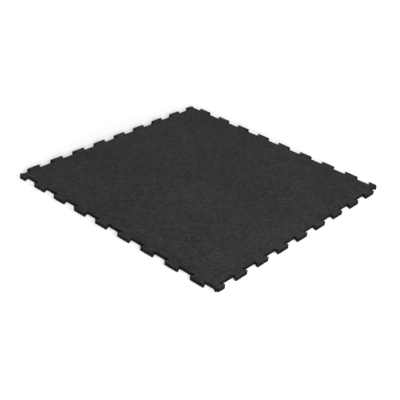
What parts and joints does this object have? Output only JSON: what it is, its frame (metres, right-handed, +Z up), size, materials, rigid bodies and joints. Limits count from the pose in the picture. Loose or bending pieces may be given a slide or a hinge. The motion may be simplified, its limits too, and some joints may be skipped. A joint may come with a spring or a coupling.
{
  "type": "interlocking rubber floor tile",
  "caption": "Square charcoal rubber floor mat tile with dovetail tabs and notches along every side, which lock into like tiles to make a floor under gym equipment.",
  "frame": {"origin": "centre of the underside, on the floor that the tile lies on", "axes": "+Z up through the thickness, X and Y along the sides of the tile"},
  "size_m": [1, 1, 0.015],
  "materials": {
    "rubber_crumb": "matt, fine bonded crumb"
  },
  "bodies": {
    "root": {"rubber_tile": "rubber_crumb"}
  },
  "joints": []
}
